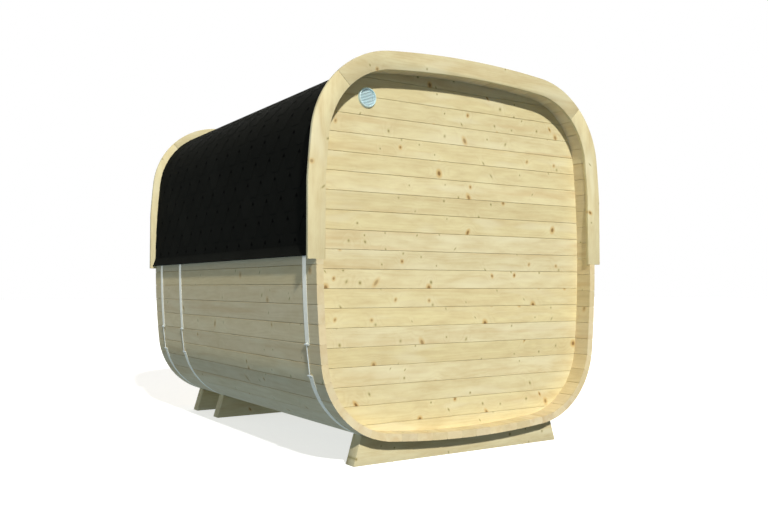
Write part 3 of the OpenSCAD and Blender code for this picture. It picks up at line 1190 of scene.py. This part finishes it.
@dataclass
class Door:
    """The boarded door with its frame, pull handle and hinges."""

    palette: Palette
    frame_w: float = 0.050
    frame_soft: float = 0.002
    board_count: int = 6
    joint: float = 0.0010
    chamfer: float = 0.0025
    handle_soft: float = 0.004
    post_inset: float = 0.001
    hinge_inset: float = 0.220
    hinge_h: float = 0.090
    hinge_d: float = 0.016
    knuckles: int = 3
    knuckle_gap: float = 0.001
    plate_w: float = 0.030
    plate_t: float = 0.0015
    plate_in: float = 0.002
    screw_in: float = 0.012
    screw_r: float = 0.0042
    screw_t: float = 0.0012
    screws: Triple = (0.2, 0.5, 0.8)  # in heights of a hinge

    def build(self) -> None:
        """Builds all parts of the door."""
        self._frame()
        self._leaf()
        self._handle()
        self._hinges()

    def _frame(self) -> None:
        """Adds the two posts, the head and the threshold."""
        low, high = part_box("door_frame")
        w = self.frame_w
        timber = Timber("door_frame_timber")
        for x in (low.x, high.x - w):
            timber.plank((x, low.y, low.z), (x + w, high.y, high.z), Grain.Z)
        for z in (low.z, high.z - w):
            timber.plank((low.x + w, low.y, z), (high.x - w, high.y, z + w), Grain.X)
        timber.bevel(self.frame_soft)
        timber.done(self.palette.door, "door_wood", "door_frame")

    def _leaf(self) -> None:
        """Adds the leaf's standing boards, with a chamfered joint between them."""
        low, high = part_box("door_leaf")
        timber = Timber("door_leaf_boards")
        pitch = (high.x - low.x) / self.board_count
        for i in range(self.board_count):
            x0, x1 = (low.x + (i + end) * pitch for end in (0, 1))
            near, far = x0 + self.joint / 2, x1 - self.joint / 2
            timber.plank((near, low.y, low.z), (far, high.y, high.z), Grain.Z)
        timber.bevel(self.chamfer, segments=1)
        timber.done(self.palette.door, "door_wood", "door_leaf")

    def _handle(self) -> None:
        """Adds the pull handle: a square bar with rounded edges on two posts."""
        low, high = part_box("door_handle")
        thick, inset = high.x - low.x, self.post_inset
        back = low.y + thick
        timber = Timber("door_pull")
        timber.plank(low, (high.x, back, high.z), Grain.Z)
        for z in (low.z + thick / 2, high.z - 1.5 * thick):
            timber.plank((low.x + inset, back, z), (high.x - inset, high.y, z + thick), Grain.Y)
        timber.bevel(self.handle_soft, segments=3)
        timber.done(self.palette.door, "door_wood", "door_handle")

    def _hinges(self) -> None:
        """Adds the hinges, evenly spaced up the leaf's edge."""
        low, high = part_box("door_hinges")
        x, y, _ = (low + high) / 2
        low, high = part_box("door_leaf")
        timber = Timber("hinge_set")
        for z in (low.z + self.hinge_inset, (low.z + high.z) / 2, high.z - self.hinge_inset):
            timber.board()
            self._hinge(timber, Vector((x, y, z - self.hinge_h / 2)), low.y)
        timber.done(self.palette.fittings, "hinge_steel", "door_hinges")

    def _hinge(self, timber: Timber, foot: Vector, face: float) -> None:
        """Adds one barrel with its knuckle joints, its pin, and its plates with screws.

        Args:
            timber: The piece that it belongs to.
            foot: Lower end of the barrel.
            face: The leaf's face along Y, which the plates lie on.
        """
        up = Vector((0, 0, self.hinge_h))
        for k in range(self.knuckles):
            start = foot + up * (k / self.knuckles) + Vector((0, 0, self.knuckle_gap / 2))
            end = start + up / self.knuckles - Vector((0, 0, self.knuckle_gap))
            timber.rod(start, end, self.hinge_d / 2, 24)
        timber.rod(foot, foot + up, self.hinge_d / 4, 12)
        for side in Side:
            reach = foot.x + side.value * (self.hinge_d / 2 + self.plate_w)
            x0, x1 = sorted((foot.x + side.value * self.plate_in, reach))
            front = face - self.plate_t
            timber.block((x0, front, foot.z), (x1, face, foot.z + self.hinge_h), Grain.Z)
            for share in self.screws:
                level = foot.z + share * self.hinge_h
                head = Vector((reach - side.value * self.screw_in, front, level))
                timber.rod(head, head - Vector((0, self.screw_t, 0)), self.screw_r, 16)


# ---- Trims ----


@dataclass
class Trim:
    """The arched boards on one end of the shell: two legs and the top."""

    end: End
    outline: Outline
    palette: Palette
    over: float = 0.064
    inside: float = -0.048
    leg_h: float = 0.380
    joint_a: float = math.radians(45)
    step: float = 0.025
    soft: float = 0.0020
    seam: float = 0.0006
    leg_tone: float = 0.7
    top_tone: float = -0.1

    def build(self) -> None:
        """Builds the three boards: round legs that end in a straight foot, and the top."""
        joint = self.outline.along_corner(self.joint_a)
        leg = self._arch(self.outline.along_height(self.leg_h), joint - self.seam / 2)
        for side in Side:
            node = f"{self.end.word}_trim_{side.word}"
            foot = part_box(node)[0].z
            section = [(leg[0][0], foot), *leg, (leg[-1][0], foot)]
            section = [(side.value * x, z) for x, z in section]
            self._board(node, section, Grain.Z, self.leg_tone)
        start = joint + self.seam / 2
        top = self._arch(start, 2 * self.outline.quarter - start)
        self._board(f"{self.end.word}_trim_top", top, Grain.X, self.top_tone)

    def _arch(self, start: float, end: float) -> list[Pair]:
        """The section of the trim between two places along the outline."""
        section = layer(evenly(start, end, self.step), self.over, self.inside)
        return [self.outline.point(*corner) for corner in section]

    def _board(self, node: str, section: Sequence[Pair], grain: Grain, tone: float) -> None:
        """Turns a section into a board with softened edges.

        Args:
            node: The node that it stands for.
            section: Its section, as X and Z.
            grain: The axis of its grain.
            tone: Its tone.
        """
        low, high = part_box(node)
        timber = Timber(f"{node}_board")
        timber.board(tone=tone)
        mid = (low.z + high.z) / 2

        def grained(x: float, z: float, y: float) -> Vector:
            """Grain up the legs and along the top."""
            along, across = (z, x) if grain is Grain.Z else (x, z - mid)
            return Vector((along, across, y - high.y))

        timber.prism(section, (low.y, high.y), upright, grained)
        timber.bevel(self.soft)
        timber.done(self.palette.trims, "trim_wood", node)


# ---- Roof ----


@dataclass
class Roof:
    """The felt roof: underlay, hexagonal tabs, ridge caps and the flared eaves."""

    outline: Outline
    palette: Palette
    tab_w: float = 0.2075
    course: float = 0.130
    first_notch: float = 0.053
    first_in: float = 0.245
    point_w: float = 0.096
    slant_h: float = 0.084
    notch: Pair = (0.034, 0.020)
    slit: float = 0.0004
    tab_len: float = 0.236
    tab_t: float = 0.0017
    lift: float = 0.0112
    fall: float = 0.0019
    under_t: float = 0.0018
    under_step: float = 0.04
    under_tone: float = 0.4
    least_tone: float = 0.25
    # the near-black sheet that paints the shadow in each notch: its reach below the notch, in notch
    # heights, and its depths
    dot_below: float = 0.35
    dot_rise: Pair = (-0.4, 0.0)  # in thicknesses of a tab
    cap_w: float = 0.30
    cap_len: float = 0.16
    cap_lap: float = 0.03
    cap_lift: float = 0.0005
    cap_rise: float = 0.003
    cap_step: float = 0.05
    eave_top: float = 0.022
    eave_tuck: float = 0.004
    eave_neck: float = 0.008
    eave_lift: Pair = (0.0016, 0.0022)
    eave_edge: float = 0.0015
    eave_bend: Pair = (0.0060, 0.014)
    eave_mitre: float = 0.055
    eave_tone: float = 1.8
    ends: Pair = field(init=False)

    def build(self) -> None:
        """Builds everything on the roof."""
        low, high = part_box("roof_top")
        self.ends = (low.y, high.y)
        self._underlay()
        self._tabs()
        self._ridge()
        for side in Side:
            self._eave(side)

    def _underlay(self) -> None:
        """Adds the felt under the tabs."""
        timber = Timber("roof_underlay")
        timber.board(tone=self.under_tone)
        stops = evenly(0.0, 2 * self.outline.quarter, self.under_step)
        base = self.outline.band_t
        section = layer(stops, base + self.under_t, base)
        timber.prism(section, self.ends, self.outline.spot)
        timber.done(self.palette.felt, "shingles", "roof_left", "roof_top", "roof_right")

    def _tone(self, timber: Timber) -> float:
        """The next tone of a tab or cap."""
        return self.least_tone + (1 - self.least_tone) * timber.chance.random()

    def _tabs(self) -> None:
        """Adds the courses of hexagonal tabs on both slopes."""
        timber = Timber("roof_tabs")
        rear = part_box("rear_trim_top")[1].y
        slope = self.outline.quarter - self.first_notch + self.slant_h
        count = math.ceil((self.ends[1] - self.ends[0]) / self.tab_w) + 2
        for side in Side:
            for row in range(-1, math.ceil(slope / self.course)):
                foot = self.first_notch - self.slant_h + row * self.course
                first = rear - self.first_in + (row % 2) * self.tab_w / 2
                for i in range(-1, count):
                    notch_y = first - (i - 1) * self.tab_w
                    timber.board(tone=self._tone(timber))
                    self._tab(timber, side, foot, notch_y - self.tab_w / 2)
                    # a near-black sheet that paints the shadow in the notch
                    self._dot(timber, side, foot + self.slant_h, notch_y)
        timber.done(self.palette.felt, "shingles")

    def _rows(self, foot: float, y: float) -> list[Pair]:
        """The widths of a tab between the eave and the ridge, and between the roof's ends.

        Args:
            foot: The tab's lower edge, along the outline.
            y: Its middle, along the shell.

        Returns:
            Pairs of a place along the outline and half the tab's width there.
        """
        point, slant = self.point_w / 2, self.slant_h
        wide, notched = (self.tab_w - self.slit) / 2, (self.tab_w - self.notch[0]) / 2
        over, first = self.course, self.eave_top - self.eave_tuck
        upper = (slant + self.notch[1], over, over + slant / 2, over + slant, self.tab_len)
        rows = [(0.0, point), (slant / 2, (point + notched) / 2), (slant, notched)]
        rows += [(s, wide) for s in upper]
        levels = {
            min(max(foot + s, first), self.outline.quarter): half
            for s, half in rows
            if foot + s > first - slant / 2
        }
        shown = [
            min(y + half, self.ends[1]) > max(y - half, self.ends[0]) for half in levels.values()
        ]
        return [row for i, row in enumerate(levels.items()) if any(shown[max(i - 1, 0) : i + 2])]

    def _tab(self, timber: Timber, side: Side, foot: float, y: float) -> None:
        """Adds one tab.

        Args:
            timber: The piece that it belongs to.
            side: Its side of the ridge.
            foot: Its lower edge, along the outline.
            y: Its middle, along the shell.
        """

        def corner(s: float, edge: float, off: float) -> Corner:
            """A corner of the tab, held inside the roof's ends."""
            held = min(max(edge, self.ends[0]), self.ends[1])
            return self.outline.spot(s, off, held, side), Vector((edge, s, off))

        rings = []
        for s, half in self._rows(foot, y):
            top = self.lift - self.fall * max(s - foot, 0.0) / self.course
            under = top - self.tab_t
            edges = ((y - half, top), (y + half, top), (y + half, under), (y - half, under))
            rings.append([corner(s, *edge) for edge in edges])
        if len(rings) > 1:
            timber.loft(rings)

    def _dot(self, timber: Timber, side: Side, s: float, y: float) -> None:
        """Adds a near-black sheet in a notch, a painted shadow where two tabs part.

        Args:
            timber: The piece that it belongs to.
            side: Its side of the ridge.
            s: The notch's foot, along the outline.
            y: Its middle, along the shell.
        """
        wide, tall = self.notch
        along = self.ends[0] + wide < y < self.ends[1] - wide
        if not along or not self.eave_top < s < self.outline.quarter - tall:
            return
        timber.welds.clear()
        # tone 0 gives the felt's near-black painted notch shadow
        timber.tone = 0.0
        off = self.lift - self.fall * self.slant_h / self.course - self.tab_t * 0.5
        timber.prism(
            [(s - tall * self.dot_below, 0.0), (s, wide / 2), (s + tall, 0.0), (s, -wide / 2)],
            [rise * self.tab_t for rise in self.dot_rise],
            lambda a, b, rise: self.outline.spot(a, off + rise, y + b, side),
            lambda a, b, rise: Vector((y + b, a, off)),
        )

    def _ridge(self) -> None:
        """Adds the overlapping caps along the ridge."""
        timber = Timber("roof_ridge")
        count = round((self.ends[1] - self.ends[0]) / self.cap_len)
        pitch = (self.ends[1] - self.ends[0]) / count
        top, base = self.outline.quarter, self.lift + self.cap_lift
        stops = evenly(top - self.cap_w / 2, top + self.cap_w / 2, self.cap_step)
        for i in range(count):
            timber.board(tone=self._tone(timber))
            y0 = self.ends[0] + i * pitch
            y1 = min(self.ends[0] + (i + 1) * pitch + self.cap_lap, self.ends[1])

            def place(s: float, off: float, y: float, y0: float = y0) -> Vector:
                """A point of the cap, which rises towards its free end."""
                return self.outline.spot(s, base + off + self.cap_rise * (1 - (y - y0) / pitch), y)

            timber.prism(layer(stops, self.tab_t, 0.0), (y0, y1), place)
        timber.done(self.palette.felt, "shingles")

    def _eave(self, side: Side) -> None:
        """Adds the felt strip that flares out along the eave.

        Args:
            side: Its side of the sauna.
        """
        node = f"eave_{side.word}"
        low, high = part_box(node)
        timber = Timber(f"eave_strip_{side.word}")
        timber.board(tone=self.eave_tone)
        out = max(abs(low.x), abs(high.x))
        foot = self.outline.along_height(low.z - self.outline.mid)
        crown_lift, neck_lift = self.eave_lift
        crown = self.outline.point(self.eave_top, self.lift + crown_lift)
        section = [
            self.outline.point(self.eave_top, self.outline.band_t),
            self.outline.point(foot, self.outline.band_t),
            (out - self.eave_edge, low.z),
            (out, low.z + self.eave_edge),
            (out - self.eave_bend[0], low.z + self.eave_bend[1]),
            self.outline.point(self.eave_top - self.eave_neck, self.lift + neck_lift),
            crown,
        ]
        corner_y = high.y - self.eave_mitre

        def folded(x: float, z: float, y: float) -> Vector:
            """A point of the strip, which folds in towards its rear end."""
            fold = max(0.0, (y - corner_y) / self.eave_mitre)
            return Vector((x - max(0.0, abs(x) - crown[0]) * side.value * fold, y, z))

        section = [(side.value * x, z) for x, z in section]
        stops = (low.y, corner_y, high.y)
        timber.prism(section, stops, folded, lambda x, z, y: Vector((y, z, x)))
        timber.done(self.palette.felt, "shingles", node)


# ---- Bands ----


@dataclass
class Bands:
    """The three steel bands and what tightens them."""

    outline: Outline
    palette: Palette
    lug_drop: float = 0.545
    lug_span: float = 0.178
    rod_r: float = 0.0035
    rod_end: float = 0.0065
    eye_r: float = 0.0050
    nut_r: float = 0.0055
    nut_h: float = 0.0045
    washer_over: float = 0.001
    washer_t: float = 0.0015

    def build(self) -> None:
        """Finishes the bands and builds the tighteners of each."""
        for band in BAND_PLACES:
            for part in ("upper", "lower"):
                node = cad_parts[f"{band}_band_{part}"]
                node.data.materials.clear()
                node.data.materials.append(self.palette.bands)
            self._tighteners(band)

    def _tighteners(self, band: str) -> None:
        """Adds the folded eyes, the rod and its nuts on both sides.

        Args:
            band: Which band they tighten.
        """
        low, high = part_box(f"{band}_band_upper")
        y, half = (low.y + high.y) / 2, Vector((0, (high.y - low.y) / 2, 0))
        off = self.outline.band_t + self.eye_r
        timber = Timber(f"{band}_tighteners")
        for side in Side:
            eyes = []
            for drop in (self.lug_drop, self.lug_drop + self.lug_span):
                eye = self.outline.spot(-self.outline.along_height(drop), off, y, side)
                timber.board()
                timber.rod(eye - half, eye + half, self.eye_r, 28)
                eyes.append(eye)
            axis = (eyes[0] - eyes[1]).normalized()
            reach = axis * (self.eye_r + self.rod_end)
            timber.rod(eyes[1] - reach, eyes[0] + reach, self.rod_r, 14)
            for eye, way in zip(eyes, (axis, -axis)):
                start = eye + way * self.eye_r
                washer = start + way * self.washer_t
                timber.rod(start, washer, self.nut_r + self.washer_over)
                timber.rod(washer, washer + way * self.nut_h, self.nut_r, 6)
        timber.done(self.palette.fittings, "band_steel", f"{band}_band_tighteners")


# ---- Cradles ----


@dataclass
class Cradles:
    """The three timber cradles that the shell lies in."""

    outline: Outline
    palette: Palette
    lean: float = math.radians(17)
    step: float = 0.02
    horn: float = 0.006
    heart_z: float = 0.2
    pith: Pair = (0.02, 0.05)
    tone: float = 0.2
    soft: float = 0.003

    def build(self) -> None:
        """Builds the cradle under each band: a long foot, leaning ends and a hollow top."""
        slope = math.tan(self.lean)
        stops = evenly(0.0, self.outline.quarter, self.step)
        hollow = [self.outline.point(-s, self.outline.band_t) for s in stops]
        for band in BAND_PLACES:
            low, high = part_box(f"{band}_cradle")
            foot, mid = high.x, (low.y + high.y) / 2
            top = [(x, z) for x, z in hollow if z < self.outline.mid and x < foot - slope * z]
            horn_z = top[0][1] + self.horn
            half = [(foot, 0.0), (foot - slope * horn_z, horn_z), *top]
            timber = Timber(f"{band}_cradle_beam")
            timber.board(pith=self.pith, tone=self.tone)
            timber.prism(
                half + [(-x, z) for x, z in reversed(half)][1:],
                (low.y, high.y),
                upright,
                lambda x, z, y, mid=mid: Vector((x, z - self.heart_z, y - mid)),
            )
            timber.bevel(self.soft)
            timber.done(self.palette.cradles, "cradle_wood", f"{band}_cradle")


# ---- Studio ----


@dataclass(frozen=True)
class Lamp:
    """A far lamp."""

    name: str
    source: Triple
    spread: float
    light: Colour

    def build(self) -> None:
        """Adds the lamp to the scene."""
        data = bpy.data.lights.new(self.name, "SUN")
        data.energy = max(self.light)
        data.angle = math.radians(self.spread)
        data.color = [part / data.energy for part in self.light]
        aim = Vector(self.source).to_track_quat("Z", "Y")
        placed(self.name, data).rotation_euler = aim.to_euler()


@dataclass
class Studio:
    """Floor, light and camera."""

    eye: Vector = Vector((3.253, 5.496, 1.045))
    yaw: float = math.radians(32.73)
    pitch: float = math.radians(2.11)
    lens: float = 38.57
    sensor: float = 36.0
    lamps: tuple[Lamp, ...] = (
        Lamp("key", (0.22, 1.0, 0.695), 2.5, (3.36, 3.33, 3.30)),
        Lamp("low", (0.7, 0.0, -0.7), 60.0, (0.33, 0.52, 0.78)),
        Lamp("back", (-0.7, -1.0, 0.65), 50.0, (1.30, 1.27, 1.24)),
    )
    white: Colour = (1.0, 1.0, 1.0)
    sky: Colour = (0.215, 0.205, 0.170)
    ground: Colour = (0.126, 0.151, 0.180)
    sky_gloss: Colour = (1.06, 1.08, 1.06)
    ground_gloss: Colour = (0.33, 0.34, 0.28)
    horizon: float = 0.15
    floor_reach: float = 60.0
    floor_pale: Colour = (0.80, 0.80, 0.79)
    floor_paler: Colour = (0.83, 0.83, 0.82)
    floor_glow: float = 0.62

    def build(self) -> None:
        """Sets up the whole studio."""
        self._floor()
        self._world()
        for lamp in self.lamps:
            lamp.build()
        self._camera()

    def _floor(self) -> None:
        """Adds a wide, plain pale floor. The world's ground stands for its bounced light."""
        mesh = bpy.data.meshes.new("studio_floor")
        reach = self.floor_reach
        corners = [(reach * x, reach * y, 0) for x, y in ((-1, -1), (1, -1), (1, 1), (-1, 1))]
        mesh.from_pydata(corners, [], [(0, 1, 2, 3)])
        g = Graph("pale_floor")
        finish = g.finish(
            Base_Color=g.blend(g.noise(g.place(), scale=3.0), self.floor_pale, self.floor_paler),
            Roughness=0.9,
            Specular_IOR_Level=0.0,
            Emission_Color=self.white,
            Emission_Strength=self.floor_glow,
        )
        mesh.materials.append(finish)
        floor = placed("studio_floor", mesh)
        floor.visible_diffuse = floor.visible_glossy = floor.visible_shadow = False
        floor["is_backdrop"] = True

    def _world(self) -> None:
        """Lights the scene softly from the sky and the ground, in front of a white background."""
        world = bpy.data.worlds.new("studio")
        bpy.context.scene.world = world
        world.use_nodes = True
        g = Graph("studio", world.node_tree)
        path = g.node("ShaderNodeLightPath").outputs
        seen, gloss = Val(g, path["Is Camera Ray"]), Val(g, path["Is Glossy Ray"])
        _, _, up = g.parts(g.node("ShaderNodeTexCoord").outputs["Generated"])
        above = up.rise(-self.horizon, self.horizon)
        soft = g.blend(above, self.ground, self.sky)
        shine = g.blend(above, self.ground_gloss, self.sky_gloss)
        around = g.blend(seen, g.blend(gloss, soft, shine), self.white)
        back = g.node("ShaderNodeBackground", None, {"Color": around})
        g.node("ShaderNodeOutputWorld", None, {"Surface": back.outputs[0]})
        bpy.context.scene.view_settings.view_transform = "Standard"

    def _camera(self) -> None:
        """Adds the camera at eye height off the rear right-hand corner."""
        data = bpy.data.cameras.new("camera")
        data.lens = self.lens
        data.sensor_width = self.sensor
        camera = placed("camera", data)
        camera.location = self.eye
        sine, cosine, level = math.sin(self.yaw), math.cos(self.yaw), math.cos(self.pitch)
        view = Vector((-sine * level, -cosine * level, math.sin(self.pitch)))
        camera.rotation_euler = view.to_track_quat("-Z", "Y").to_euler()
        bpy.context.scene.camera = camera


def main() -> None:
    """Builds the sauna piece by piece and sets it in the studio."""
    logging.basicConfig(level=logging.INFO, format="%(message)s")
    side_low, side_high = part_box("side_wall_left")[0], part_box("side_wall_right")[1]
    floor_low, ceiling_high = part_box("floor")[0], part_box("ceiling")[1]
    outline = Outline(
        width=side_high.x - side_low.x,
        height=ceiling_high.z - floor_low.z,
        mid=(ceiling_high.z + floor_low.z) / 2,
    )
    palette = Palette()
    Shell(outline, palette).build()
    EndWall(End.REAR, ["rear_wall"], outline, palette).build()
    front = [*both("front_wall_{}"), "front_wall_over_door", "front_wall_sill"]
    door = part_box("door_frame")
    EndWall(End.FRONT, front, outline, palette, door, first_joint=-0.215).build()
    Vent(palette).build()
    Door(palette).build()
    for end in End:
        Trim(end, outline, palette).build()
    Roof(outline, palette).build()
    Bands(outline, palette).build()
    Cradles(outline, palette).build()
    Studio().build()
    boxes = {"cad": CAD_BOX, "visual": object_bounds()}
    {key: [list(corner) for corner in box] for key, box in boxes.items()}


if __name__ == "__main__":
    main()
